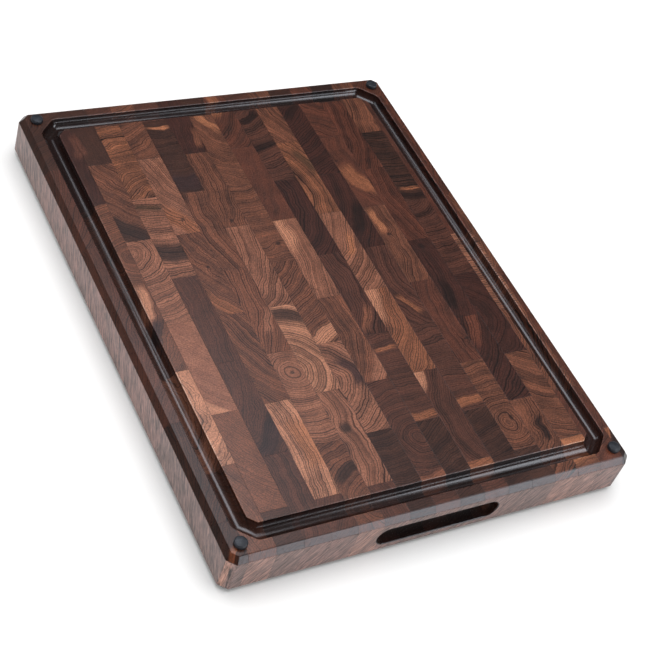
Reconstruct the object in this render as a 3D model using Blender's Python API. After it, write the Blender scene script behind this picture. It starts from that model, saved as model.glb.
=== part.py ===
# End-grain walnut cutting board: seventeen glued rows of blocks, a juice groove round
# the top, a finger recess in each short end and four rubber feet pressed into the top.
# Metres, +Z up, origin in the middle of the underside. The rows run along Y, front to
# back, and every second row is shifted by half a block, as in a brick wall.

import math

import bmesh
import bpy

# Board
row_width = 0.0205
full_row_count = 15
left_row_width = 0.0141
right_row_width = 0.0086
board_length = 0.4318
board_thickness = 0.0381
long_front_block = 0.0724
short_back_block = 0.0258
middle_block_count = 4
glue_gap = 0.0003
chamfer_across = 0.0038
chamfer_down = 0.0050
corner_cut = 0.0060

# Juice groove
groove_margin = 0.0117
groove_width = 0.0127
groove_depth = 0.0064
groove_corner_cut = 0.0099
groove_section_steps = 14
groove_corner_steps = 4

# Finger recesses
recess_length = 0.1000
recess_height = 0.0175
recess_depth = 0.0150
recess_end_steps = 10
recess_depth_steps = 7

# Feet
foot_inset = 0.0121
foot_diameter = 0.0095
foot_height = 0.0034
foot_round = 0.0010
foot_dome = 0.0003
stem_diameter = 0.0050
stem_length = 0.0080
stem_taper = 0.0008
fit_gap = 0.0003
foot_sides = 32

# How far a cutter runs past the wood that it cuts
overrun = 0.0040

board_width = left_row_width + full_row_count * row_width + right_row_width
block_length = (board_length - long_front_block - short_back_block) / middle_block_count
octagon_shrink = 2 - math.sqrt(2)

# One colour for each row, from the dark left edge to the right edge
row_colours = [
    (0.085, 0.035, 0.024),
    (0.120, 0.058, 0.042),
    (0.135, 0.062, 0.042),
    (0.165, 0.078, 0.040),
    (0.160, 0.075, 0.042),
    (0.115, 0.050, 0.034),
    (0.140, 0.062, 0.040),
    (0.175, 0.075, 0.036),
    (0.130, 0.052, 0.032),
    (0.105, 0.046, 0.030),
    (0.175, 0.078, 0.038),
    (0.120, 0.054, 0.032),
    (0.165, 0.072, 0.036),
    (0.095, 0.040, 0.027),
    (0.120, 0.054, 0.032),
    (0.105, 0.046, 0.030),
    (0.130, 0.060, 0.038),
]


def new_material(name, colour, roughness):
    material = bpy.data.materials.new(name)
    material.use_nodes = True
    shader = material.node_tree.nodes["Principled BSDF"]
    shader.inputs["Base Color"].default_value = (*colour, 1)
    shader.inputs["Roughness"].default_value = roughness
    shader.inputs["Metallic"].default_value = 0
    material.diffuse_color = (*colour, 1)
    return material


def new_object(name, bm, location=(0, 0, 0), material=None, parent=None):
    bmesh.ops.recalc_face_normals(bm, faces=bm.faces)
    mesh = bpy.data.meshes.new(name)
    bm.to_mesh(mesh)
    bm.free()
    item = bpy.data.objects.new(name, mesh)
    item.location = location
    item.parent = parent
    if material:
        mesh.materials.append(material)
    bpy.context.scene.collection.objects.link(item)
    return item


def as_cutter(item):
    item.hide_render = True
    item.display_type = "WIRE"
    return item


def cut_rectangle(half_x, half_y, cut):
    """Corner points of a rectangle with its corners cut off, anticlockwise."""
    return [
        (half_x, -half_y + cut),
        (half_x, half_y - cut),
        (half_x - cut, half_y),
        (-half_x + cut, half_y),
        (-half_x, half_y - cut),
        (-half_x, -half_y + cut),
        (-half_x + cut, -half_y),
        (half_x - cut, -half_y),
    ]


def join_rings(bm, rings, around):
    """Faces between neighbouring rings, closing the last on the first if around is set."""
    pairs = list(zip(rings, rings[1:]))
    if around:
        pairs.append((rings[-1], rings[0]))
    for lower, upper in pairs:
        for i in range(len(lower)):
            j = (i + 1) % len(lower)
            bm.faces.new((lower[i], lower[j], upper[j], upper[i]))


def board_form():
    """The whole board's outline, with its cut corners and chamfered top and bottom edges."""
    bm = bmesh.new()
    levels = [
        (0, chamfer_across),
        (chamfer_down, 0),
        (board_thickness - chamfer_down, 0),
        (board_thickness, chamfer_across),
    ]
    rings = []
    for z, inset in levels:
        half_x = board_width / 2 - inset
        half_y = board_length / 2 - inset
        outline = cut_rectangle(half_x, half_y, corner_cut - inset * octagon_shrink)
        rings.append([bm.verts.new((x, y, z)) for x, y in outline])
    join_rings(bm, rings, around=False)
    bm.faces.new(rings[0])
    bm.faces.new(rings[-1])
    return as_cutter(new_object("cutter_board_form", bm))


def groove_ring(offset):
    """The groove's path moved outward by offset; outward corners turn round the cutter's tip."""
    half_x = board_width / 2 - groove_margin - groove_width / 2
    half_y = board_length / 2 - groove_margin - groove_width / 2
    path = cut_rectangle(half_x, half_y, groove_corner_cut)
    inner = cut_rectangle(half_x + offset, half_y + offset, groove_corner_cut + offset * octagon_shrink)
    points = []
    for i, (x, y) in enumerate(path):
        first = math.pi / 4 * (i - 1)
        for step in range(groove_corner_steps + 1):
            angle = first + math.pi / 4 * step / groove_corner_steps
            if offset > 0:
                points.append((x + offset * math.cos(angle), y + offset * math.sin(angle)))
            else:
                points.append(inner[i])
    return points


def groove_cutter():
    """A round-nosed cut along a rectangle with cut corners."""
    bm = bmesh.new()
    section = [(-groove_width / 2, overrun)]
    for step in range(groove_section_steps + 1):
        angle = math.pi * step / groove_section_steps
        section.append((-groove_width / 2 * math.cos(angle), -groove_depth * math.sin(angle)))
    section.append((groove_width / 2, overrun))
    rings = []
    for offset, height in section:
        z = board_thickness + height
        rings.append([bm.verts.new((x, y, z)) for x, y in groove_ring(offset)])
    join_rings(bm, rings, around=True)
    bmesh.ops.remove_doubles(bm, verts=bm.verts, dist=0.000001)
    return as_cutter(new_object("cutter_groove", bm))


def recess_cutter(name, side):
    """A scooped slot across one short end: side is -1 for the front end and 1 for the back."""
    bm = bmesh.new()
    radius = recess_height / 2
    half_straight = recess_length / 2 - radius
    levels = [(radius, -overrun)]
    for step in range(recess_depth_steps + 1):
        angle = math.pi / 2 * step / recess_depth_steps
        levels.append((radius * math.cos(angle), recess_depth * math.sin(angle)))
    rings = []
    for level_radius, depth in levels:
        y = side * (board_length / 2 - depth)
        ring = []
        for end in (1, -1):
            for step in range(recess_end_steps + 1):
                angle = math.pi * step / recess_end_steps - math.pi / 2
                x = end * (half_straight + level_radius * math.cos(angle))
                z = board_thickness / 2 + end * level_radius * math.sin(angle)
                ring.append(bm.verts.new((x, y, z)))
        rings.append(ring)
    join_rings(bm, rings, around=False)
    bm.faces.new(rings[0])
    bmesh.ops.remove_doubles(bm, verts=bm.verts, dist=0.000001)
    return as_cutter(new_object(name, bm))


def turned(profile):
    """A closed round solid from (radius, height) points, bottom first."""
    bm = bmesh.new()
    rings = []
    for radius, z in profile:
        ring = []
        for side in range(foot_sides):
            angle = 2 * math.pi * side / foot_sides
            ring.append(bm.verts.new((radius * math.cos(angle), radius * math.sin(angle), z)))
        rings.append(ring)
    join_rings(bm, rings, around=False)
    bm.faces.new(rings[0])
    bm.faces.new(rings[-1])
    return bm


def foot_hole_cutter(name, x, y):
    hole_radius = stem_diameter / 2 + fit_gap
    hole_floor = -stem_length - fit_gap
    bm = turned([(hole_radius, hole_floor), (hole_radius, overrun)])
    return as_cutter(new_object(name, bm, (x, y, board_thickness)))


def add_foot(name, x, y, material, parent):
    """A rubber button standing on the top face, with a stem pressed into a blind hole."""
    stem = stem_diameter / 2
    rim = foot_diameter / 2
    profile = [
        (stem - stem_taper, fit_gap - stem_length),
        (stem, fit_gap - stem_length + stem_taper),
        (stem, fit_gap),
        (rim, fit_gap),
    ]
    for step in range(5):
        angle = math.pi / 2 * step / 4
        radius = rim - foot_round * (1 - math.cos(angle))
        profile.append((radius, fit_gap + foot_height - foot_dome - foot_round * (1 - math.sin(angle))))
    profile.append(((rim - foot_round) / 2, fit_gap + foot_height))
    bm = turned(profile)
    foot = new_object(name, bm, (x, y, board_thickness), material, parent)
    foot.data.shade_smooth()
    foot.data.set_sharp_from_angle(angle=math.radians(40))
    return foot


def add_wood(name, x_span, y_span, material, parent, cutters):
    """Part of a row: an oversize plank, cut to the board's form and then by every cutter."""
    centre = ((x_span[0] + x_span[1]) / 2, (y_span[0] + y_span[1]) / 2, board_thickness / 2)
    half_size = ((x_span[1] - x_span[0]) / 2, (y_span[1] - y_span[0]) / 2, board_thickness / 2 + overrun)
    bm = bmesh.new()
    bmesh.ops.create_cube(bm, size=2)
    bmesh.ops.scale(bm, vec=half_size, verts=bm.verts)
    wood = new_object(name, bm, centre, material, parent)
    for cutter in cutters:
        boolean = wood.modifiers.new(cutter.name, "BOOLEAN")
        boolean.operation = "INTERSECT" if cutter.name == "cutter_board_form" else "DIFFERENCE"
        boolean.solver = "EXACT"
        boolean.object = cutter
    return wood


def spans(joints, half_length):
    """The stretches between glue joints, with the outermost ones running past the board."""
    starts = [-half_length - overrun] + [joint + glue_gap / 2 for joint in joints]
    ends = [joint - glue_gap / 2 for joint in joints] + [half_length + overrun]
    return list(zip(starts, ends))


def build():
    for item in list(bpy.data.objects):
        bpy.data.objects.remove(item)

    board = bpy.data.objects.new("cutting_board", None)
    bpy.context.scene.collection.objects.link(board)

    foot_x = board_width / 2 - foot_inset
    foot_y = board_length / 2 - foot_inset
    foot_places = {
        "front_left": (-foot_x, -foot_y),
        "front_right": (foot_x, -foot_y),
        "back_left": (-foot_x, foot_y),
        "back_right": (foot_x, foot_y),
    }

    cutters = [board_form(), groove_cutter()]
    cutters.append(recess_cutter("cutter_recess_front", -1))
    cutters.append(recess_cutter("cutter_recess_back", 1))
    for corner, (x, y) in foot_places.items():
        cutters.append(foot_hole_cutter("cutter_foot_hole_" + corner, x, y))

    # The edge rows are trimmed narrower. In each row the two end blocks are separate pieces,
    # and the whole blocks between them are one piece.
    row_joints = [i * row_width + left_row_width - board_width / 2 for i in range(full_row_count + 1)]
    for i, row_span in enumerate(spans(row_joints, board_width / 2)):
        shift = 0 if i % 2 else -block_length / 2
        front_joint = -board_length / 2 + long_front_block + shift
        back_joint = board_length / 2 - short_back_block + shift
        walnut = new_material(f"walnut_row_{i + 1:02d}", row_colours[i % len(row_colours)], 0.45)
        stretches = spans([front_joint, back_joint], board_length / 2)
        for place, stretch in zip(("front", "middle", "back"), stretches):
            add_wood(f"row_{i + 1:02d}_{place}", row_span, stretch, walnut, board, cutters)

    rubber = new_material("foot_rubber", (0.018, 0.021, 0.030), 0.40)
    for corner, (x, y) in foot_places.items():
        add_foot("foot_" + corner, x, y, rubber, board)


build()
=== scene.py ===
import math
from functools import partial

import bmesh
import bpy
from mathutils import Matrix, Vector


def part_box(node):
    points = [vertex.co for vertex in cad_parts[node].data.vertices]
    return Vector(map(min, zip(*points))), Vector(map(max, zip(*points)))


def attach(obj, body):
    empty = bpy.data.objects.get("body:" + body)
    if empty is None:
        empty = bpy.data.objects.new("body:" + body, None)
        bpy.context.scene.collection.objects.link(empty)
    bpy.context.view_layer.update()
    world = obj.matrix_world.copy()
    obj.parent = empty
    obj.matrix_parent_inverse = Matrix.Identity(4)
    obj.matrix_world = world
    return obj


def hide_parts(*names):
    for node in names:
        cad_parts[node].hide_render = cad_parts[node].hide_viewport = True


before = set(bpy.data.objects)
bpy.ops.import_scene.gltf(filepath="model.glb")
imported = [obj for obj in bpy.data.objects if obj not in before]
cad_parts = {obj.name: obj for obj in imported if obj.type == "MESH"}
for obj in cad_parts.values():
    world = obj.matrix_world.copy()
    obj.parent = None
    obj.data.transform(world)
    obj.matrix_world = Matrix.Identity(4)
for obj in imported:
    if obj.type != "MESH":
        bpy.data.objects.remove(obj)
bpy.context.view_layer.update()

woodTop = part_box("row_05_middle")[1].z
print("frame loaded, wood is", round(woodTop * 1000, 1), "mm thick")


# tones of oiled walnut, named as a maker would sort the offcuts
tones = {
    "black": (0.011, 0.006, 0.005),
    "espresso": (0.019, 0.007, 0.005),
    "umber": (0.031, 0.012, 0.008),
    "plum": (0.035, 0.014, 0.013),
    "wine": (0.057, 0.016, 0.010),
    "cocoa": (0.060, 0.021, 0.012),
    "olive": (0.065, 0.029, 0.014),
    "russet": (0.097, 0.031, 0.018),
    "brick": (0.118, 0.033, 0.017),
    "copper": (0.174, 0.058, 0.029),
    "honey": (0.233, 0.078, 0.034),
    "amber": (0.316, 0.113, 0.050),
    "tan": (0.266, 0.101, 0.056),
    "sand": (0.409, 0.170, 0.094),
}


def block(dark, light, lean=0, bend=120, pith=None, gap=2.1, contrast=0.6, wander=1.0, knot=None,
          patch=None, patch2=None):
    # lean: way the growth rings run, in degrees from the board's width
    # bend: how far off their centre is, in mm; pith gives the centre itself
    # gap: mm from one ring to the next; wander: how much they waver
    # knot: (x, y, radius); patch: (tone, x, y, half its width across the rings)
    return dict(dark=dark, light=light, lean=lean, bend=bend, pith=pith, gap=gap, contrast=contrast,
                wander=wander, knot=knot, patch=patch, patch2=patch2)


# the blocks of each row, listed from the back edge to the front edge
rowBlocks = {
    1: [
        block("umber", "cocoa", lean=40, contrast=0.9),
        block("umber", "russet", lean=62, contrast=0.9),
        block("umber", "russet", lean=75, contrast=0.9),
        block("umber", "russet", lean=60, patch=("russet", -163, -58, 9)),
        block("espresso", "cocoa", lean=70, contrast=0.9),
        block("espresso", "cocoa", lean=60, contrast=0.8, patch=("honey", -164, -214, 2.5)),
    ],
    2: [
        block("umber", "cocoa", lean=20),
        block("espresso", "wine", lean=80, bend=200, contrast=0.35, patch=("russet", -132, 170, 4)),
        block("umber", "copper", pith=(-130, 50), gap=2.2, contrast=0.8),
        block("umber", "copper", lean=62, bend=60, gap=2.0, wander=1.6, patch=("sand", -135, 5, 5),
              patch2=("plum", -137, -22, 4)),
        block("cocoa", "sand", lean=70, bend=50, gap=3.2, wander=2.4, patch=("sand", -137, -75, 10),
              patch2=("sand", -136, -120, 9)),
        block("umber", "copper", lean=110, gap=2.2, contrast=0.4),
    ],
    3: [
        block("espresso", "cocoa", lean=98, bend=200, contrast=0.35, patch=("russet", -129, 172, 4)),
        block("umber", "copper", lean=-48, bend=130, gap=2.0, contrast=0.9,
              patch=("umber", -126, 76, 9)),
        block("cocoa", "tan", pith=(-131, 52), gap=2.1, contrast=1.0, wander=1.2),
        block("russet", "tan", lean=-42, bend=300, gap=1.7, contrast=0.35,
              patch=("sand", -127, -97, 6)),
        block("cocoa", "copper", lean=-52, bend=240, gap=1.9, contrast=0.5),
        block("umber", "cocoa", lean=10),
    ],
    4: [
        block("umber", "russet", lean=10),
        block("umber", "honey", pith=(-84, 90), gap=2.0, contrast=0.9, wander=1.3),
        block("cocoa", "tan", lean=-4, bend=80, gap=2.6, contrast=0.9, patch=("olive", -100, 95, 3),
              patch2=("umber", -98, 48, 10)),
        block("umber", "russet", lean=88, bend=260, gap=1.8, contrast=0.8),
        block("umber", "russet", lean=66, bend=120, gap=2.0, contrast=0.8, wander=1.8,
              patch=("plum", -98, -130, 9)),
        block("umber", "russet", lean=86, bend=240, gap=1.7, contrast=0.7),
    ],
    5: [
        block("umber", "copper", lean=26, bend=90, gap=2.1, contrast=0.9),
        block("umber", "tan", lean=-62, bend=130, gap=1.9, contrast=0.9, knot=(-80, 80, 1.8),
              patch=("honey", -78, 75, 9)),
        block("umber", "copper", lean=-58, bend=170, gap=1.9, contrast=0.9, knot=(-78, 30, 1.5),
              patch=("honey", -80, -12, 7)),
        block("umber", "copper", lean=-60, bend=130, gap=1.8, contrast=1.0),
        block("cocoa", "sand", lean=88, bend=180, gap=2.0, contrast=1.0, patch=("amber", -73, -140, 9)),
        block("umber", "russet", lean=60),
    ],
    6: [
        block("umber", "russet", lean=8),
        block("espresso", "cocoa", lean=3, bend=240, gap=1.8, contrast=0.7,
              patch=("plum", -59, 117, 10), patch2=("amber", -59, 181, 2.4)),
        block("umber", "copper", lean=-82, bend=170, gap=2.0, contrast=0.8),
        block("cocoa", "copper", lean=78, bend=140, gap=2.2, contrast=0.9,
              patch=("tan", -55, -30, 3.5)),
        block("cocoa", "tan", pith=(-57, -80), gap=2.1, contrast=0.9, knot=(-57, -80, 1.7), wander=0.6),
        block("umber", "copper", pith=(-46, -196), gap=2.4, contrast=0.8,
              patch=("umber", -58, -170, 5)),
    ],
    7: [
        block("espresso", "wine", lean=86, bend=260, contrast=0.6, patch=("copper", -30, 165, 3)),
        block("umber", "copper", lean=86, bend=200, gap=2.0, contrast=0.9, knot=(-39, 72, 1.6)),
        block("cocoa", "tan", lean=66, bend=90, gap=2.2, contrast=0.9),
        block("cocoa", "sand", pith=(-57, -80), gap=2.3, contrast=0.9, wander=0.7,
              patch=("umber", -38, -28, 6)),
        block("cocoa", "tan", lean=88, bend=120, gap=2.6, contrast=1.0, knot=(-41, -134, 4.2)),
        block("umber", "russet", lean=100, bend=120, contrast=0.6),
    ],
    8: [
        block("espresso", "cocoa", lean=-10),
        block("umber", "copper", lean=-36, bend=60, gap=1.9, contrast=0.8, wander=1.4,
              patch=("amber", -18, 184, 5)),
        block("umber", "copper", lean=4, bend=60, gap=2.0, contrast=0.7, knot=(-14, 40, 1.8)),
        block("umber", "copper", lean=36, bend=110, gap=2.0, contrast=0.9, patch=("sand", -15, -53, 7)),
        block("umber", "tan", pith=(-40, -95), gap=2.5, contrast=0.9, patch=("tan", -22, -100, 6),
              patch2=("plum", -12, -88, 5)),
        block("espresso", "cocoa", lean=3, bend=200, contrast=0.8),
    ],
    9: [
        block("umber", "brick", lean=60, bend=50, gap=2.2, contrast=0.8, patch=("honey", 0, 200, 6)),
        block("umber", "brick", lean=76, bend=220, gap=1.5, contrast=0.35),
        block("cocoa", "tan", lean=84, bend=190, gap=1.9, contrast=0.9, patch=("sand", -3, 50, 7)),
        block("umber", "copper", lean=80, bend=90, gap=1.9, contrast=0.9, patch=("tan", 10, -90, 6)),
        block("umber", "russet", pith=(10, -158), gap=2.1, contrast=1.0),
        block("umber", "russet", lean=10, patch=("copper", 0, -194, 8)),
    ],
    10: [
        block("umber", "russet", lean=20),
        block("umber", "russet", lean=18, bend=60, gap=2.4, contrast=1.0,
              patch=("espresso", 23, 180, 4), patch2=("espresso", 22, 146, 5)),
        block("espresso", "wine", lean=72, bend=80, gap=2.6, contrast=1.0),
        block("espresso", "russet", lean=84, bend=80, gap=2.4, contrast=0.9,
              patch=("copper", 24, -45, 4)),
        block("umber", "russet", lean=-3, bend=120, gap=1.9, contrast=0.8,
              patch=("honey", 23, -75, 2.5), patch2=("honey", 23, -139, 4)),
        block("espresso", "cocoa", lean=22, bend=90, gap=2.2, contrast=0.9),
    ],
    11: [
        block("umber", "copper", lean=-68, bend=150, gap=2.2, contrast=0.9),
        block("umber", "honey", lean=-78, bend=-70, gap=2.4, contrast=1.0, patch=("olive", 51, 125, 5)),
        block("cocoa", "tan", lean=56, bend=110, gap=2.2, contrast=0.9, patch=("amber", 45, 28, 4)),
        block("cocoa", "honey", lean=66, bend=110, gap=2.0, contrast=1.0, patch=("sand", 37, -30, 8)),
        block("umber", "russet", lean=84, bend=-90, gap=2.0, contrast=0.9, patch=("sand", 36, -108, 5)),
        block("umber", "russet", lean=8, patch=("honey", 41, -193, 8)),
    ],
    12: [
        block("espresso", "cocoa", lean=8),
        block("espresso", "wine", lean=32, bend=110, gap=2.6, contrast=1.0,
              patch=("espresso", 64, 182, 4)),
        block("espresso", "wine", lean=70, bend=110, gap=2.6, contrast=0.9,
              patch=("espresso", 66, 55, 7)),
        block("espresso", "russet", lean=-76, bend=70, gap=2.6, contrast=0.9,
              patch=("honey", 63, -38, 3)),
        block("umber", "russet", lean=2, bend=200, gap=2.2, contrast=0.8, patch=("honey", 66, -136, 5)),
        block("espresso", "cocoa", lean=18, bend=100, contrast=0.9),
    ],
    13: [
        block("umber", "brick", lean=-38, bend=80, gap=2.4, contrast=1.0, wander=1.6),
        block("umber", "brick", lean=-72, bend=90, gap=1.7, contrast=0.6, wander=1.5,
              knot=(76, 121, 1.3), patch=("honey", 86, 95, 8)),
        block("umber", "copper", lean=84, bend=160, gap=1.9, contrast=0.9, knot=(83, 33, 1.6),
              patch=("amber", 80, 48, 4)),
        block("umber", "brick", lean=88, bend=-120, gap=1.9, contrast=0.9, knot=(92, -81, 1.6)),
        block("umber", "copper", pith=(85, -160), gap=2.0, contrast=0.9, knot=(89, -158, 1.8),
              wander=0.8),
        block("umber", "cocoa", lean=10),
    ],
    14: [
        block("espresso", "umber", lean=20),
        block("espresso", "brick", lean=76, bend=160, gap=2.0, contrast=1.0),
        block("espresso", "brick", lean=-82, bend=140, gap=2.1, contrast=0.9,
              patch=("brick", 113, 40, 3)),
        block("espresso", "wine", lean=86, bend=120, gap=2.6, contrast=0.7, knot=(104, 16, 2.6),
              patch=("espresso", 101, -38, 6)),
        block("espresso", "wine", lean=52, bend=90, gap=2.8, contrast=1.0,
              patch=("brick", 105, -70, 7)),
        block("umber", "copper", lean=66, bend=70, gap=2.6, contrast=0.9, wander=1.9,
              patch=("copper", 99, -160, 4), patch2=("espresso", 109, -170, 4)),
    ],
    15: [
        block("umber", "copper", lean=84, bend=160, gap=2.1, contrast=0.9),
        block("black", "cocoa", lean=-8, bend=90, gap=3.0, contrast=1.0, patch=("honey", 126, 80, 2),
              patch2=("espresso", 124, 70, 5)),
        block("espresso", "russet", lean=12, bend=60, gap=2.2, contrast=0.9),
        block("espresso", "wine", pith=(106, -62), gap=2.6, contrast=0.8),
        block("umber", "copper", lean=-28, bend=110, gap=2.0, contrast=0.9),
        block("umber", "copper", lean=4, contrast=0.5, patch=("amber", 123, -196, 14)),
    ],
    16: [
        block("umber", "brick", lean=50),
        block("espresso", "russet", lean=96),
        block("espresso", "brick", lean=84),
        block("umber", "tan", lean=2, bend=200, gap=2.4, contrast=1.0),
        block("umber", "copper", lean=70, gap=2.4, contrast=1.0),
        block("umber", "brick", lean=40, patch=("brick", 150, -208, 6)),
    ],
    17: [
        block("umber", "brick", lean=60),
        block("espresso", "brick", lean=76, gap=3.0),
        block("umber", "copper", lean=84, gap=2.4, contrast=0.9),
        block("espresso", "brick", lean=70),
        block("umber", "brick", lean=82),
        block("espresso", "umber", lean=60, patch=("honey", 158, -187, 3)),
    ],
}


def plug(tree, source, target):
    # a plain value is set on the socket, anything else is linked to it
    if isinstance(source, (int, float, tuple)):
        target.default_value = source
    else:
        tree.links.new(source, target)


def sums(tree, operation, a, b=0.0, clamp=False):
    node = tree.nodes.new("ShaderNodeMath")
    node.operation = operation
    node.use_clamp = clamp
    plug(tree, a, node.inputs[0])
    plug(tree, b, node.inputs[1])
    return node.outputs[0]


def vectorSums(tree, operation, a, b=(0, 0, 0), scale=None):
    node = tree.nodes.new("ShaderNodeVectorMath")
    node.operation = operation
    plug(tree, a, node.inputs[0])
    plug(tree, b, node.inputs[1])
    if scale is not None:
        plug(tree, scale, node.inputs["Scale"])
    return node.outputs["Value" if operation == "DISTANCE" else "Vector"]


def spread(tree, value, low, high, toLow=0.0, toHigh=1.0):
    # carries low..high over to toLow..toHigh, with soft ends
    node = tree.nodes.new("ShaderNodeMapRange")
    node.interpolation_type = "SMOOTHSTEP"
    sockets = {"Value": value, "From Min": low, "From Max": high, "To Min": toLow, "To Max": toHigh}
    for name, source in sockets.items():
        plug(tree, source, node.inputs[name])
    return node.outputs["Result"]


def blend(tree, amount, a, b, way="MIX"):
    node = tree.nodes.new("ShaderNodeMix")
    node.data_type = "RGBA"
    node.blend_type = way
    plug(tree, amount, node.inputs["Factor"])
    plug(tree, a, node.inputs["A"])
    plug(tree, b, node.inputs["B"])
    return node.outputs["Result"]


def tinted(tree, colour, tint):
    return blend(tree, 1.0, colour, tint, "MULTIPLY")


def grainNoise(tree, vector, scale, detail=2.0, roughness=0.5, size="3D"):
    node = tree.nodes.new("ShaderNodeTexNoise")
    node.noise_dimensions = size
    plug(tree, vector, node.inputs["W" if size == "1D" else "Vector"])
    node.inputs["Scale"].default_value = scale
    node.inputs["Detail"].default_value = detail
    node.inputs["Roughness"].default_value = roughness
    return node


def attribute(tree, name, output="Vector"):
    node = tree.nodes.new("ShaderNodeAttribute")
    node.attribute_name = name
    return node.outputs[output]


def splitVector(tree, vector):
    node = tree.nodes.new("ShaderNodeSeparateXYZ")
    plug(tree, vector, node.inputs[0])
    return node.outputs


def joinVector(tree, x, y, z):
    node = tree.nodes.new("ShaderNodeCombineXYZ")
    for source, target in zip((x, y, z), node.inputs):
        plug(tree, source, target)
    return node.outputs[0]


def placeInMillimetres(tree):
    place = tree.nodes.new("ShaderNodeTexCoord").outputs["Object"]
    return vectorSums(tree, "MULTIPLY", place, (1000, 1000, 1000))


def bumpFrom(tree, height, strength, depth):
    node = tree.nodes.new("ShaderNodeBump")
    node.inputs["Strength"].default_value = strength
    node.inputs["Distance"].default_value = depth
    plug(tree, height, node.inputs["Height"])
    return node.outputs["Normal"]


walnutLook = {
    "glueLine": 0.22,            # mm from a joint to where it stops looking dark
    "glueDarkness": 0.45,
    "poreSize": 0.50,            # mm between vessels
    "poreEdge": (0.30, 0.08),    # from clear wood to the middle of a vessel
    "poreDarkness": 0.52,
    "fleckWaves": 0.9,
    "fleckContrast": 1.7,
    "fibreStretch": 0.14,        # how far the pattern is drawn out down the sides
    "fibreLean": (0.75, 0.45),   # mm the fibres slant in each mm down, on the short sides and the long
    "wandering": ((9.0, 0.045, 1.0), (2.2, 0.16, 2.0)),   # mm off line, waves in a mm, detail
    "seedDrift": 61.7,           # how far a block's seed moves its pattern, in mm and then in rings
    "seedRings": 13.1,
    "ringScale": 0.86,
    "broadWaves": 0.30,          # waves in a ring
    "broadBands": 1.02,
    "fineWaves": 1.7,
    "fineRings": 0.90,
    "yearWaves": 0.55,
    "unevenYears": 0.9,
    "lateEdge": (0.62, 0.90),    # share of a year where the line that ends it begins and is full
    "lateBand": 0.45,
    "lateLine": 0.80,            # darkness of that line
    "cloudWaves": 0.07,
    "clouds": 0.9,
    "balance": 0.56,             # share of the light tone in an even block
    "knotBulge": 1.8,            # how far rings stand off a knot, in radii of the knot
    "knotFade": 0.16,
    "knotTone": (0.012, 0.007, 0.006, 1),
    "knotCover": 0.75,
    "patchCover": 0.9,
    "patchSides": (1.1, 0.5),    # where it has faded out and where it is full, in its own widths
    "patchEnds": (2.4, 1.0),
    "patchDark": (0.55, 0.55, 0.55, 1),
    "patchLight": (1.15, 1.15, 1.15, 1),
    "roughness": 0.33,
    "fleckRoughness": 0.22,
    "poreRoughness": 0.18,
    "fleckRelief": 0.5,
    "poreRelief": 0.8,
    "ringRelief": 0.35,
    "glueRelief": 0.8,
}


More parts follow.
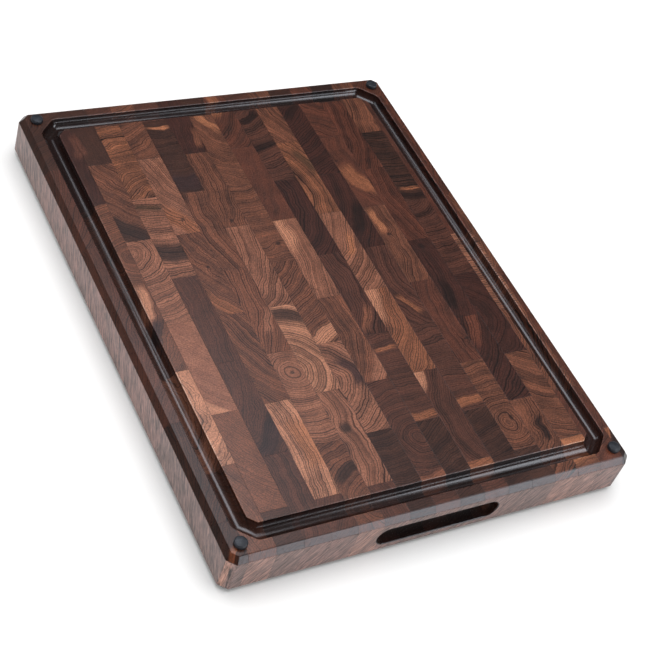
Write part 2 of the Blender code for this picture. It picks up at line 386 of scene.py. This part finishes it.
def endGrainGroup():
    look = walnutLook
    tree = bpy.data.node_groups.new("end grain walnut", "ShaderNodeTree")
    outputs = {"Color": "Color", "Shade": "Color", "Roughness": "Float", "Height": "Float"}
    for name, kind in outputs.items():
        tree.interface.new_socket(name=name, in_out="OUTPUT", socket_type="NodeSocket" + kind)
    for name in ("Fibre Strength", "Fibre Fineness", "Ring Strength"):
        tree.interface.new_socket(name=name, in_out="INPUT", socket_type="NodeSocketFloat")
    fibreStrength, fibreFineness, ringStrength = tree.nodes.new("NodeGroupInput").outputs[:3]
    out = tree.nodes.new("NodeGroupOutput")
    add, less, times = [partial(sums, tree, way) for way in ("ADD", "SUBTRACT", "MULTIPLY")]

    place = placeInMillimetres(tree)
    x, y, z = splitVector(tree, place)
    # going down, the fibres slant along whichever side they show on
    down = less(woodTop * 1000, z)
    normal = tree.nodes.new("ShaderNodeNewGeometry").outputs["True Normal"]
    facing = splitVector(tree, vectorSums(tree, "ABSOLUTE", normal))
    onShortSide = sums(tree, "GREATER_THAN", facing[1], facing[0])
    onLongSide = sums(tree, "GREATER_THAN", facing[0], facing[1])
    x = add(x, times(down, times(onShortSide, look["fibreLean"][0])))
    y = add(y, times(down, times(onLongSide, look["fibreLean"][1])))

    # what each block was given
    seed = attribute(tree, "seed", "Fac")
    pithX, pithY, gap = splitVector(tree, attribute(tree, "rings"))
    contrast, wander = splitVector(tree, attribute(tree, "manner"))[:2]
    knotX, knotY, knotRadius = splitVector(tree, attribute(tree, "knot"))
    centre = attribute(tree, "blockCentre")
    halfSize = splitVector(tree, attribute(tree, "blockHalf"))
    dark = attribute(tree, "darkTone", "Color")
    light = attribute(tree, "lightTone", "Color")

    # each block wavers in its own way, first in a slow sway and then in a quick ripple
    drift = times(seed, look["seedDrift"])
    slow = joinVector(tree, add(x, drift), add(y, drift), times(z, look["fibreStretch"]))
    moved = joinVector(tree, x, y, 0.0)
    for reach, waves, detail in look["wandering"]:
        swing = grainNoise(tree, slow, waves, detail).outputs["Color"]
        swing = vectorSums(tree, "SUBTRACT", swing, (0.5, 0.5, 0.5))
        swing = vectorSums(tree, "SCALE", swing, scale=times(wander, reach))
        moved = vectorSums(tree, "ADD", moved, vectorSums(tree, "MULTIPLY", swing, (1, 1, 0)))

    # rings bulge round a knot and close up inside it
    fromKnot = vectorSums(tree, "DISTANCE", moved, joinVector(tree, knotX, knotY, 0.0))
    knotReach = sums(tree, "DIVIDE", fromKnot, sums(tree, "MAXIMUM", knotRadius, 0.001))
    fading = sums(tree, "EXPONENT", times(sums(tree, "POWER", knotReach, 2.0), -look["knotFade"]))
    bulge = times(fading, times(knotRadius, look["knotBulge"]))
    inKnot = spread(tree, knotReach, 1.5, 0.5)
    pith = joinVector(tree, pithX, pithY, 0.0)
    radius = add(vectorSums(tree, "DISTANCE", moved, pith), bulge)
    count = sums(tree, "DIVIDE", radius, times(gap, look["ringScale"]))
    count = add(count, times(seed, look["seedRings"]))

    # years of uneven width and strength, each ending in a thin dark line
    broad = grainNoise(tree, count, look["broadWaves"], 1.0, size="1D").outputs["Fac"]
    fine = grainNoise(tree, count, look["fineWaves"], 3.0, 0.75, size="1D").outputs["Fac"]
    uneven = grainNoise(tree, count, look["yearWaves"], 0.0, size="1D").outputs["Fac"]
    years = add(count, times(uneven, look["unevenYears"]))
    season = sums(tree, "FRACT", years)
    strength = grainNoise(tree, sums(tree, "FLOOR", years), 3.7, 0.0, size="1D").outputs["Fac"]
    strength = times(spread(tree, strength, 0.25, 0.58, 0.25, 1.0), ringStrength)
    lateLine = times(spread(tree, season, *look["lateEdge"]), strength)

    # how far each spot goes from the dark tone to the light one
    bands = add(times(less(broad, 0.5), look["broadBands"]), times(less(fine, 0.5), look["fineRings"]))
    bands = less(bands, times(lateLine, look["lateBand"]))
    cloud = less(grainNoise(tree, slow, look["cloudWaves"], 2.0).outputs["Fac"], 0.5)
    mixed = add(times(bands, contrast), times(cloud, look["clouds"]))
    amount = sums(tree, "ADD", mixed, look["balance"], clamp=True)

    # a band of another tone follows the rings for a way, then fades out
    for name in ("patch", "patch2"):
        patchX, patchY, halfWidth = splitVector(tree, attribute(tree, name))
        tone = attribute(tree, name + "Tone", "Color")
        middle = joinVector(tree, patchX, patchY, 0.0)
        size = sums(tree, "MAXIMUM", halfWidth, 0.001)
        offRing = less(radius, vectorSums(tree, "DISTANCE", middle, pith))
        across = sums(tree, "DIVIDE", sums(tree, "ABSOLUTE", offRing), size)
        along = sums(tree, "DIVIDE", vectorSums(tree, "DISTANCE", moved, middle), add(size, 3.0))
        inPatch = times(spread(tree, across, *look["patchSides"]), spread(tree, along, *look["patchEnds"]))
        inPatch = times(inPatch, look["patchCover"])
        dark = blend(tree, inPatch, dark, tinted(tree, tone, look["patchDark"]))
        light = blend(tree, inPatch, light, tinted(tree, tone, look["patchLight"]))
    colour = blend(tree, amount, dark, light)
    colour = blend(tree, times(inKnot, look["knotCover"]), colour, look["knotTone"])

    # vessels and fibres: dots on the top, slanting lines down the sides
    drawn = joinVector(tree, add(x, drift), y, times(z, look["fibreStretch"]))
    drawn = vectorSums(tree, "SCALE", drawn, scale=fibreFineness)
    vessels = tree.nodes.new("ShaderNodeTexVoronoi")
    vessels.inputs["Scale"].default_value = 1 / (look["poreSize"] * 2.2)
    plug(tree, drawn, vessels.inputs["Vector"])
    pore = spread(tree, vessels.outputs["Distance"], *look["poreEdge"])
    pore = times(pore, spread(tree, season, 0.75, 0.15, 0.45, 1.0))
    fleck = less(grainNoise(tree, drawn, look["fleckWaves"], 3.0, 0.75).outputs["Fac"], 0.5)
    value = add(1.0, times(times(fleck, look["fleckContrast"]), fibreStrength))
    value = times(value, less(1.0, times(pore, look["poreDarkness"])))
    value = times(value, less(1.0, times(lateLine, times(contrast, look["lateLine"]))))

    # the thin dark line of glue where two blocks meet
    offset = splitVector(tree, vectorSums(tree, "ABSOLUTE", vectorSums(tree, "SUBTRACT", place, centre)))
    inward = sums(tree, "MINIMUM", less(halfSize[0], offset[0]), less(halfSize[1], offset[1]))
    joint = spread(tree, inward, look["glueLine"], 0.02)
    value = times(value, less(1.0, times(joint, look["glueDarkness"])))
    shade = joinVector(tree, value, value, value)
    plug(tree, shade, out.inputs["Shade"])
    plug(tree, tinted(tree, colour, shade), out.inputs["Color"])

    gloss = add(look["roughness"], times(fleck, look["fleckRoughness"]))
    gloss = add(gloss, times(pore, look["poreRoughness"]))
    plug(tree, gloss, out.inputs["Roughness"])
    relief = less(times(fleck, look["fleckRelief"]), times(pore, look["poreRelief"]))
    relief = add(relief, times(amount, look["ringRelief"]))
    relief = less(relief, times(joint, look["glueRelief"]))
    plug(tree, relief, out.inputs["Height"])
    return tree


endGrain = endGrainGroup()

# fibres: strength and fineness, then a pale tone that covers part of the block's own: painted sheen on the
# side faces
walnutFinishes = {
    "oiled walnut": dict(tint=(1.0, 1.0, 1.0), bumpDepth=0.00015, fibres=(1.6, 1.0)),
    # the groove and the finger recesses are darkened nearly to black: painted shade in these hollows
    "routed walnut painted shade": dict(tint=(0.26, 0.23, 0.24), rougher=-0.13, bumpDepth=0.00005, coat=0.35),
    # the side faces are lightened and greyed: painted sheen and painted light on them
    "side walnut painted sheen": dict(tint=(2.6, 3.4, 4.6), rougher=0.05, bumpDepth=0.0006, fibres=(3.4, 0.72),
                        rings=0.15, paintedSheen=(0.190, 0.125, 0.112)),
    # the chamfers are darkened: painted shade
    "eased edge walnut painted shade": dict(tint=(0.66, 0.54, 0.46), rougher=-0.02, bumpDepth=0.00010),
    # the lips of the groove are lightened and cooled: a painted highlight
    "groove lip walnut painted highlight": dict(tint=(1.6, 2.2, 2.9), rougher=-0.08, bumpDepth=0.00005, coat=0.2),
}
walnutShared = {"paintedSheenShare": 0.6, "bumpStrength": 0.35, "coatRoughness": 0.30}


def walnutMaterial(name, tint, bumpDepth, rougher=0.0, coat=0.0, fibres=(1.0, 1.0), rings=1.0,
                   paintedSheen=None):
    material = bpy.data.materials.new(name)
    material.use_nodes = True
    tree = material.node_tree
    shader = tree.nodes["Principled BSDF"]
    grain = tree.nodes.new("ShaderNodeGroup")
    grain.node_tree = endGrain
    grain.inputs["Fibre Strength"].default_value, grain.inputs["Fibre Fineness"].default_value = fibres
    grain.inputs["Ring Strength"].default_value = rings
    colour = tinted(tree, grain.outputs["Color"], (*tint, 1))
    # the pale tone laid over part of the colour is painted sheen
    if paintedSheen:
        plain = tinted(tree, (*paintedSheen, 1), grain.outputs["Shade"])
        colour = blend(tree, walnutShared["paintedSheenShare"], colour, plain)
    plug(tree, colour, shader.inputs["Base Color"])
    plug(tree, sums(tree, "ADD", grain.outputs["Roughness"], rougher), shader.inputs["Roughness"])
    normal = bumpFrom(tree, grain.outputs["Height"], walnutShared["bumpStrength"], bumpDepth)
    plug(tree, normal, shader.inputs["Normal"])
    shader.inputs["Coat Weight"].default_value = coat
    shader.inputs["Coat Roughness"].default_value = walnutShared["coatRoughness"]
    return material


walnuts = [walnutMaterial(name, **finish) for name, finish in walnutFinishes.items()]
finishSlot = {name: slot for slot, name in enumerate(walnutFinishes)}

rubberLook = {
    "clean": (0.010, 0.012, 0.017, 1),
    "dusty": (0.022, 0.025, 0.034, 1),
    "dustWaves": 0.55,           # waves in a mm
    "mottleWaves": 2.2,
    "roughness": (0.36, 0.50),
    "bumpStrength": 0.25,
    "bumpDepth": 0.00005,
}


def rubberMaterial():
    look = rubberLook
    material = bpy.data.materials.new("black rubber")
    material.use_nodes = True
    tree = material.node_tree
    shader = tree.nodes["Principled BSDF"]
    place = placeInMillimetres(tree)
    mottle = grainNoise(tree, place, look["mottleWaves"], 3.0, 0.6).outputs["Fac"]
    dust = spread(tree, grainNoise(tree, place, look["dustWaves"]).outputs["Fac"], 0.42, 0.70)
    plug(tree, blend(tree, dust, look["clean"], look["dusty"]), shader.inputs["Base Color"])
    plug(tree, spread(tree, mottle, 0.3, 0.7, *look["roughness"]), shader.inputs["Roughness"])
    normal = bumpFrom(tree, mottle, look["bumpStrength"], look["bumpDepth"])
    plug(tree, normal, shader.inputs["Normal"])
    return material


blackRubber = rubberMaterial()
print("materials ready")


def linkObject(name, data):
    item = bpy.data.objects.new(name, data)
    bpy.context.scene.collection.objects.link(item)
    return item


def addPiece(name, bm, materials):
    mesh = bpy.data.meshes.new(name)
    bm.to_mesh(mesh)
    bm.free()
    for material in materials:
        mesh.materials.append(material)
    return linkObject(name, mesh)


def baked(piece):
    # the mesh as its modifiers leave it
    graph = bpy.context.evaluated_depsgraph_get()
    return bpy.data.meshes.new_from_object(piece.evaluated_get(graph), depsgraph=graph)


def discard(piece):
    mesh = piece.data
    bpy.data.objects.remove(piece)
    if mesh.users == 0:
        bpy.data.meshes.remove(mesh)


def cutWith(piece, cutter, operation="DIFFERENCE"):
    cut = piece.modifiers.new(cutter.name, "BOOLEAN")
    cut.operation = operation
    cut.solver = "EXACT"
    cut.material_mode = "INDEX"
    cut.object = cutter


def isClosed(bm):
    return all(len(edge.link_faces) == 2 for edge in bm.edges)


def middleHeight(face):
    return face.calc_center_median().z


def cutCornerOutline(bm, halfX, halfY, cut, z, rounding=0, steps=4):
    # one flat face, a rectangle with its corners cut off at 45 degrees and perhaps rounded
    bmesh.ops.create_grid(bm, x_segments=1, y_segments=1, size=1)
    bmesh.ops.scale(bm, vec=(halfX, halfY, 1), verts=bm.verts)
    bmesh.ops.translate(bm, vec=(0, 0, z), verts=bm.verts)
    bmesh.ops.bevel(bm, geom=bm.verts[:], offset=cut, offset_type="OFFSET", segments=1, profile=0.5,
                    affect="VERTICES", material=-1)
    if rounding:
        bmesh.ops.bevel(bm, geom=bm.verts[:], offset=rounding * math.tan(math.pi / 8),
                        offset_type="OFFSET", segments=steps, profile=0.5, affect="VERTICES", material=-1)
    return bm.faces[:][0]


def insetAlong(bm, face, profile):
    # carries the face through (inward, forward) points, leaving walls behind it
    for (inA, onA), (inB, onB) in zip(profile, profile[1:]):
        bmesh.ops.inset_region(bm, faces=[face], thickness=inB - inA, depth=onB - onA,
                               use_even_offset=True, use_boundary=True)


def roundedLip(radius, lip, steps=3):
    # a quarter turn that eases an edge, as (inward, forward) points
    turn = [math.pi / 2 * i / steps for i in range(steps + 1)]
    return [(radius * math.sin(a), radius * (1 - math.cos(a)) + lip) for a in turn]


def scoopTurns(lip, depth, steps):
    # angles from just inside the eased lip down to the bottom of a scoop
    start = math.asin(lip / depth)
    return [start + (math.pi / 2 - start) * i / steps for i in range(1, steps + 1)]


# sizes of the board before it is split into blocks, in metres
board = {
    "cornerCut": 0.0060,
    "chamferAcross": 0.0038,
    "chamferDown": 0.0050,
    "easedEdge": 0.0005,
    "halfGlueLine": 0.00002,
    "halfCadGap": 0.00015,       # between neighbouring solids of the CAD model
    "sideSlope": 0.4,            # faces turned up less than this are side wood
    "topSlope": 0.93,            # and more than this are the oiled top
    "sharpAngle": 32,
}
groove = {"margin": 0.0117, "width": 0.0127, "depth": 0.0064, "cornerCut": 0.0099, "easedLip": 0.0005,
          "steps": 10, "cornerSteps": 6}
recess = {"length": 0.1000, "height": 0.0175, "depth": 0.0150, "easedLip": 0.0007, "steps": 9,
          "sides": 40}
foot = {"inset": 0.0121, "diameter": 0.0095, "height": 0.0034, "dome": 0.0003, "easedRim": 0.0010,
        "undercut": 0.00025, "stem": 0.0050, "stemLength": 0.0080, "stemTaper": 0.0008,
        "clearance": 0.0003, "sides": 64, "holeSides": 48, "sharpAngle": 40}
beyond = 0.0040      # how far the cutters stand out of the wood
low = [min(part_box(node)[0][i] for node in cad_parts) for i in range(2)]
high = [max(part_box(node)[1][i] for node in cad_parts) for i in range(2)]
halfX, halfY = ((top - bottom) / 2 for bottom, top in zip(low, high))
print("board is", round(halfX * 2000, 1), "by", round(halfY * 2000, 1), "mm")


def finishOf(upward):
    # side faces take the finish with painted sheen
    if upward < board["sideSlope"]:
        return finishSlot["side walnut painted sheen"]
    # chamfers take the finish darkened as painted shade
    return finishSlot["eased edge walnut painted shade" if upward < board["topSlope"] else "oiled walnut"]


def wholeBoard():
    across, down = board["chamferAcross"], board["chamferDown"]
    bm = bmesh.new()
    face = cutCornerOutline(bm, halfX, halfY, board["cornerCut"], down)
    raised = bmesh.ops.extrude_face_region(bm, geom=[face], use_keep_orig=True)["geom"]
    raisedFace = [item for item in raised if isinstance(item, bmesh.types.BMFace)][0]
    bmesh.ops.translate(bm, vec=(0, 0, woodTop - 2 * down), verts=raisedFace.verts[:])
    bmesh.ops.recalc_face_normals(bm, faces=bm.faces)
    for end in (min(bm.faces, key=middleHeight), max(bm.faces, key=middleHeight)):
        bmesh.ops.inset_region(bm, faces=[end], thickness=across, depth=down, use_even_offset=True)
    bmesh.ops.bevel(bm, geom=bm.edges[:], offset=board["easedEdge"], offset_type="OFFSET", segments=3,
                    profile=0.5, affect="EDGES", clamp_overlap=True, material=-1)
    bmesh.ops.recalc_face_normals(bm, faces=bm.faces)
    for face in bm.faces:
        face.material_index = finishOf(abs(face.normal.z))
    return addPiece("whole board", bm, walnuts)


def grooveCutter():
    # from the outer lip down to the middle of the groove, then up to the inner lip
    radius, depth, lip = groove["width"] / 2, groove["depth"], groove["easedLip"]
    cut = groove["cornerCut"] + (radius + lip) * (2 - math.sqrt(2))
    bm = bmesh.new()
    face = cutCornerOutline(bm, halfX - groove["margin"] + lip, halfY - groove["margin"] + lip, cut,
                            woodTop + beyond, radius + lip, groove["cornerSteps"])
    if face.normal.z > 0:
        bmesh.ops.reverse_faces(bm, faces=bm.faces[:])
    down = [(0, 0)] + roundedLip(lip, beyond)
    down += [(lip + radius * (1 - math.cos(a)), beyond + depth * math.sin(a))
             for a in scoopTurns(lip, depth, groove["steps"])]
    insetAlong(bm, face, down)
    # the rounded corners have shrunk to points here, so the inner wall is mitred
    bmesh.ops.remove_doubles(bm, verts=face.verts[:], dist=groove["width"] / 12)
    face = max(bm.faces, key=lambda f: f.calc_area())
    up = [(2 * (lip + radius) - inward, forward) for inward, forward in reversed(down)]
    insetAlong(bm, face, up)
    bmesh.ops.delete(bm, geom=[face], context="FACES_ONLY")
    bmesh.ops.bridge_loops(bm, edges=[edge for edge in bm.edges if edge.is_boundary])
    lid = [face for face in bm.faces if middleHeight(face) > woodTop + beyond * 0.99]
    bmesh.ops.triangulate(bm, faces=lid)
    bmesh.ops.recalc_face_normals(bm, faces=bm.faces)
    for face in bm.faces:
        # lip faces take the finish lightened as a painted highlight
        inLip = middleHeight(face) > woodTop - lip
        # the rest of the groove takes the finish darkened as painted shade
        face.material_index = finishSlot["groove lip walnut painted highlight" if inLip else "routed walnut painted shade"]
    print("groove cutter", len(bm.verts), "points, closed:", isClosed(bm))
    return addPiece("groove cutter", bm, walnuts)


def recessCutter(name, side):
    # a scoop with round ends, pushed into one short edge of the board
    radius, depth, lip = recess["height"] / 2, recess["depth"], recess["easedLip"]
    bm = bmesh.new()
    bmesh.ops.create_circle(bm, cap_ends=True, radius=radius + lip, segments=recess["sides"])
    halfStep = Matrix.Rotation(math.pi / recess["sides"], 3, "Z")
    bmesh.ops.rotate(bm, matrix=halfStep, verts=bm.verts)
    for way in (-1, 1):
        half = [v for v in bm.verts if v.co.x * way > 0]
        bmesh.ops.translate(bm, vec=(way * (recess["length"] / 2 - radius), 0, 0), verts=half)
    bmesh.ops.translate(bm, vec=(0, 0, -beyond), verts=bm.verts)
    inward = [(0, 0)] + roundedLip(lip, beyond)
    # the bottom is left a sliver wide, so that it does not fold over itself
    inward += [(lip + radius * (1 - math.cos(a)) * 0.995, beyond + depth * math.sin(a))
               for a in scoopTurns(lip, depth, recess["steps"])]
    insetAlong(bm, bm.faces[:][0], inward)
    bmesh.ops.contextual_create(bm, geom=[edge for edge in bm.edges if edge.is_boundary])
    bmesh.ops.rotate(bm, matrix=Matrix.Rotation(math.radians(90 * side), 3, "X"), verts=bm.verts)
    bmesh.ops.translate(bm, vec=(0, side * halfY, woodTop / 2), verts=bm.verts)
    bmesh.ops.recalc_face_normals(bm, faces=bm.faces)
    # the scoop takes the finish darkened as painted shade
    for face in bm.faces:
        face.material_index = finishSlot["routed walnut painted shade"]
    print(name, len(bm.verts), "points, closed:", isClosed(bm))
    return addPiece(name, bm, walnuts)


def footHoleCutter(name, x, y):
    depth = foot["stemLength"] + foot["clearance"]
    radius = foot["stem"] / 2 + foot["clearance"]
    bm = bmesh.new()
    bmesh.ops.create_cone(bm, cap_ends=True, segments=foot["holeSides"], radius1=radius, radius2=radius,
                          depth=depth + beyond)
    bmesh.ops.translate(bm, vec=(x, y, woodTop + (beyond - depth) / 2), verts=bm.verts)
    return addPiece(name, bm, walnuts)


footX = halfX - foot["inset"]
footY = halfY - foot["inset"]
footPlaces = {"foot_front_left": (-footX, -footY), "foot_front_right": (footX, -footY),
              "foot_back_left": (-footX, footY), "foot_back_right": (footX, footY)}

solid = wholeBoard()
cutters = [grooveCutter(), recessCutter("front recess cutter", -1), recessCutter("back recess cutter", 1)]
cutters += [footHoleCutter("hole " + name, x, y) for name, (x, y) in footPlaces.items()]
for cutter in cutters:
    cutWith(solid, cutter)
shaped = baked(solid)
for item in cutters + [solid]:
    discard(item)
solid = linkObject("shaped board", shaped)
print("board shaped,", len(shaped.polygons), "faces")


def boxBetween(name, xSpan, ySpan):
    bm = bmesh.new()
    bmesh.ops.create_cube(bm, size=1)
    size = (xSpan[1] - xSpan[0], ySpan[1] - ySpan[0], woodTop + 2 * beyond)
    bmesh.ops.scale(bm, vec=size, verts=bm.verts)
    place = ((xSpan[0] + xSpan[1]) / 2, (ySpan[0] + ySpan[1]) / 2, woodTop / 2)
    bmesh.ops.translate(bm, vec=place, verts=bm.verts)
    return addPiece(name, bm, walnuts)


def pithOf(item, x, y):
    # a leaning, gently bent pattern has its centre far off to one side
    if item["pith"]:
        return item["pith"]
    across = math.radians(item["lean"] + 90)
    return (x + item["bend"] * math.cos(across), y + item["bend"] * math.sin(across))


noKnot = (900, 900, 0)               # off the board and of no size
noPatch = ("umber", 900, 900, 0)


def middleOf(span):
    return (span[0] + span[1]) / 2 * 1000


def halfOf(span):
    return (span[1] - span[0]) / 2 * 1000


def blockLook(item, number, place, xSpan, ySpan):
    # what the wood's pattern needs to know about one block, in mm
    # an end block's pattern is centred on what shows of it, not on the part past the edge
    shownY = middleOf((max(ySpan[0], -halfY), min(ySpan[1], halfY)))
    tone, *patch = item["patch"] or noPatch
    tone2, *patch2 = item["patch2"] or noPatch
    vectors = {
        "rings": (*pithOf(item, middleOf(xSpan), shownY), item["gap"]),
        "manner": (item["contrast"], item["wander"], 0),
        "knot": item["knot"] or noKnot,
        "patch": patch,
        "patch2": patch2,
        "blockCentre": (middleOf(xSpan), middleOf(ySpan), 0),
        "blockHalf": (halfOf(xSpan), halfOf(ySpan), 0),
    }
    names = {"darkTone": item["dark"], "lightTone": item["light"], "patchTone": tone, "patch2Tone": tone2}
    colours = {name: (*tones[toneName], 1) for name, toneName in names.items()}
    seeds = {"seed": (number * 7 + place * 3.3) % 10 + number * 0.37}     # sets its pattern apart
    return {**vectors, **colours, **seeds}


def splitRow(number, blocks):
    nodes = [f"row_{number:02d}_{place}" for place in ("front", "middle", "back")]
    front, middle, back = (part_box(node) for node in nodes)
    outwards = board["halfCadGap"] - board["halfGlueLine"]
    lowX = middle[0].x - outwards if number > 1 else -halfX - beyond
    highX = middle[1].x + outwards if number < len(rowBlocks) else halfX + beyond
    frontJoint = (front[1].y + middle[0].y) / 2
    backJoint = (middle[1].y + back[0].y) / 2
    whole = len(blocks) - 2          # blocks between the front one and the back one
    joints = [backJoint + (frontJoint - backJoint) * i / whole for i in range(whole + 1)]
    edges = [halfY + beyond] + joints + [-halfY - beyond]
    slab = boxBetween("slab", (lowX, highX), (-halfY - beyond, halfY + beyond))
    cutWith(slab, solid, "INTERSECT")
    rowSolid = linkObject("row solid", baked(slab))
    discard(slab)

    bm = bmesh.new()
    points = bm.verts.layers
    layers = {name: points.float_vector.new(name)
              for name in ("rings", "manner", "knot", "patch", "patch2", "blockCentre", "blockHalf")}
    for name in ("darkTone", "lightTone", "patchTone", "patch2Tone"):
        layers[name] = points.float_color.new(name)
    layers["seed"] = points.float.new("seed")
    for i, item in enumerate(blocks):
        ySpan = (edges[i + 1] + board["halfGlueLine"], edges[i] - board["halfGlueLine"])
        cube = boxBetween("block", (lowX - beyond, highX + beyond), ySpan)
        cutWith(cube, rowSolid, "INTERSECT")
        mesh = baked(cube)
        discard(cube)
        first = len(bm.verts)
        bm.from_mesh(mesh)
        bpy.data.meshes.remove(mesh)
        bm.verts.ensure_lookup_table()
        look = blockLook(item, number, i, (lowX, highX), ySpan)
        for vert in bm.verts[first:]:
            for name, value in look.items():
                vert[layers[name]] = value
    discard(rowSolid)
    bmesh.ops.recalc_face_normals(bm, faces=bm.faces)
    row = addPiece(f"walnutRow{number:02d}", bm, walnuts)
    row.data.shade_smooth()
    row.data.set_sharp_from_angle(angle=math.radians(board["sharpAngle"]))
    steady = row.modifiers.new("even shading", "WEIGHTED_NORMAL")
    steady.keep_sharp = True
    steady.weight = 80
    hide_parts(*nodes)
    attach(row, "root")
    return row


rows = [splitRow(number, blocks) for number, blocks in rowBlocks.items()]
discard(solid)
print("rows split into blocks,", sum(len(row.data.polygons) for row in rows), "faces")


def footProfile():
    # from the bottom of the stem, out under the head, round its rim and up over its dome
    rim, stem, base = foot["diameter"] / 2, foot["stem"] / 2, foot["clearance"]
    tip, taper, undercut = base - foot["stemLength"], foot["stemTaper"], foot["undercut"]
    top = base + foot["height"]
    easing, crown = foot["easedRim"], top - foot["dome"]
    profile = [(0, tip), (stem - taper, tip), (stem, tip + taper), (stem, base)]
    profile += [(rim - undercut, base), (rim, base + undercut)]
    turns = [math.pi / 2 * i / 6 for i in range(7)]
    profile += [(rim - easing * (1 - math.cos(a)), crown - easing * (1 - math.sin(a))) for a in turns]
    flat = rim - easing
    profile += [(flat * (1 - i / 5), top - foot["dome"] * (1 - i / 5) ** 2) for i in range(1, 6)]
    return profile


def makeFoot(name, x, y):
    bm = bmesh.new()
    verts = [bm.verts.new((radius, 0, z)) for radius, z in footProfile()]
    edges = [bm.edges.new(pair) for pair in zip(verts, verts[1:])]
    bmesh.ops.spin(bm, geom=verts + edges, cent=(0, 0, 0), axis=(0, 0, 1), angle=2 * math.pi,
                   steps=foot["sides"], use_merge=True)
    bmesh.ops.remove_doubles(bm, verts=bm.verts, dist=0.000001)
    bmesh.ops.recalc_face_normals(bm, faces=bm.faces)
    bmesh.ops.translate(bm, vec=(x, y, woodTop), verts=bm.verts)
    piece = addPiece("rubber" + name.title().replace("_", ""), bm, [blackRubber])
    piece.data.shade_smooth()
    piece.data.set_sharp_from_angle(angle=math.radians(foot["sharpAngle"]))
    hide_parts(name)
    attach(piece, "root")
    return piece


feet = [makeFoot(name, x, y) for name, (x, y) in footPlaces.items()]
print("feet made,", len(feet))


coolWhite = (0.88, 0.92, 1.0)
studio = {
    "floorTone": (0.86, 0.86, 0.86, 1),
    "floorSize": 12,             # metres each way
    "floorRoughness": 0.9,
    "floorShine": 0.1,
    "surround": 0.85,            # how bright the room is
    "mirrored": 0.05,            # how bright it is where the wood mirrors it
    "lens": 84.27,
    "cameraPlace": (-0.5377, -0.6397, 0.8371),
    "cameraRight": (0.86984, -0.42099, 0.25718),
    "cameraBack": (-0.46578, -0.52904, 0.70934),
}
# the key only lights surfaces, and the other panels only show as sheen on them
panels = {
    "key": dict(place=(0.00, 0.05, 1.60), aim=(0, 0, 0), size=(1.7, 1.7), power=21, sheen=False),
    "near sheen": dict(place=(0.16, 0.50, 1.50), aim=(-0.1, -0.1, 0), size=(0.6, 0.9), power=7.2),
    "back bar": dict(place=(-0.55, 1.15, 1.40), aim=(0, 0.1, 0), size=(0.9, 0.3), power=2.6),
    "right bar": dict(place=(1.05, -0.45, 1.20), aim=(0.05, -0.05, 0), size=(1.2, 0.4), power=9.0),
    "low front": dict(place=(1.02, -1.88, 0.46), aim=(0, -0.2, 0), size=(1.3, 0.6), power=17),
}


def studioFloor():
    bm = bmesh.new()
    bmesh.ops.create_grid(bm, x_segments=1, y_segments=1, size=studio["floorSize"] / 2)
    material = bpy.data.materials.new("pale floor")
    material.use_nodes = True
    shader = material.node_tree.nodes["Principled BSDF"]
    shader.inputs["Base Color"].default_value = studio["floorTone"]
    shader.inputs["Roughness"].default_value = studio["floorRoughness"]
    shader.inputs["Specular IOR Level"].default_value = studio["floorShine"]
    addPiece("studioFloor", bm, [material])


def softLight(name, place, aim, size, power, sheen=True):
    light = bpy.data.lights.new(name, "AREA")
    light.shape = "RECTANGLE"
    light.size, light.size_y = size
    light.energy = power
    light.color = coolWhite if sheen else (1, 1, 1)
    lamp = linkObject(name, light)
    lamp.location = place
    lamp.rotation_euler = (Vector(aim) - Vector(place)).to_track_quat("-Z", "Y").to_euler()
    lamp.visible_glossy = sheen
    lamp.visible_diffuse = not sheen
    lamp.visible_camera = False


def studioCamera():
    data = bpy.data.cameras.new("camera")
    data.lens = studio["lens"]
    data.sensor_width = 36
    data.clip_start = 0.01
    camera = linkObject("camera", data)
    back = Vector(studio["cameraBack"]).normalized()
    up = back.cross(Vector(studio["cameraRight"])).normalized()
    turned = Matrix((up.cross(back), up, back)).transposed().to_4x4()
    camera.matrix_world = Matrix.Translation(Vector(studio["cameraPlace"])) @ turned
    bpy.context.scene.camera = camera


def studioWorld():
    # the pale room lights the board evenly but is kept dim in its reflections
    world = bpy.data.worlds.new("studio")
    bpy.context.scene.world = world
    world.use_nodes = True
    tree = world.node_tree
    background = tree.nodes["Background"]
    path = tree.nodes.new("ShaderNodeLightPath")
    dimming = studio["mirrored"] - studio["surround"]
    glossy = sums(tree, "MULTIPLY", path.outputs["Is Glossy Ray"], dimming)
    plug(tree, sums(tree, "ADD", glossy, studio["surround"]), background.inputs["Strength"])
    background.inputs["Color"].default_value = (1, 1, 1, 1)


studioFloor()
for name, panel in panels.items():
    softLight(name, **panel)
studioCamera()
studioWorld()
bpy.context.scene.view_settings.view_transform = "Standard"
print("studio ready")
